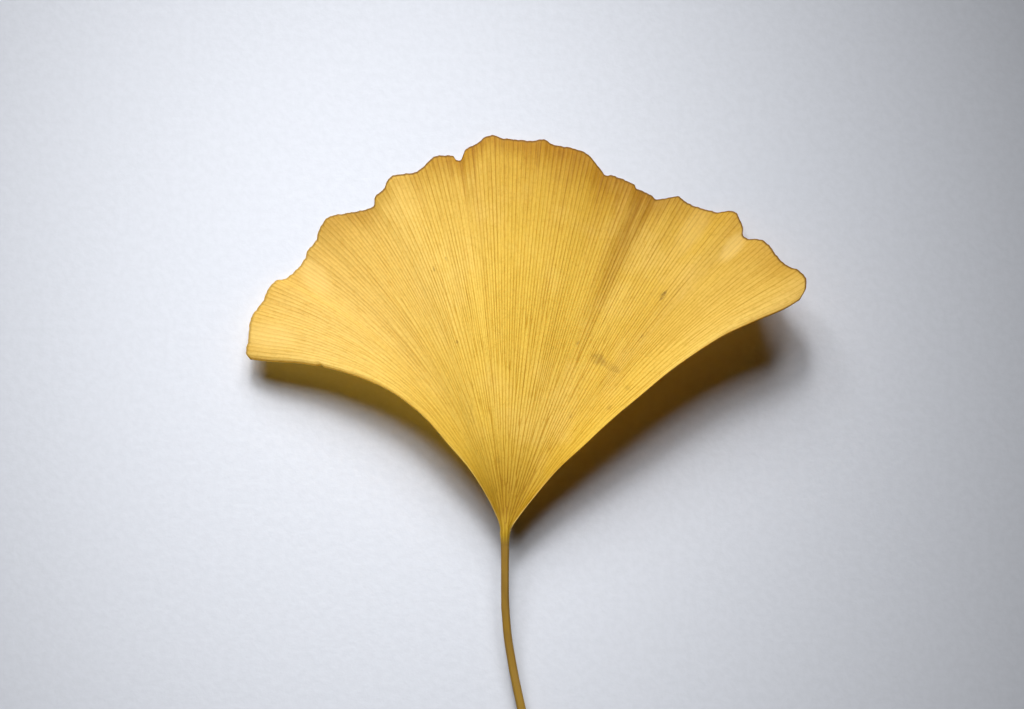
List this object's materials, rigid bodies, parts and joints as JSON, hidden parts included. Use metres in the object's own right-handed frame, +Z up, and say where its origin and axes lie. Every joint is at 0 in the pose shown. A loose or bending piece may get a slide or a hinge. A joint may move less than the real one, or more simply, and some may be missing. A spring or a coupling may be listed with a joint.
{
  "type": "ginkgo leaf",
  "caption": "Dried fan-shaped ginkgo leaf with a lobed outer margin, forking veins and a slender curved stalk, lying on a surface.",
  "frame": {"origin": "on the resting surface, under the middle of the leaf's outline", "axes": "+Z up from the resting surface, +Y from the stalk towards the blade's outer margin, +X to the right seen from above with the stalk towards the viewer"},
  "size_m": [0.079, 0.1034, 0.0105],
  "materials": {
    "dried_leaf": "matte"
  },
  "bodies": {
    "root": {"ginkgo_leaf": "dried_leaf"}
  },
  "joints": []
}
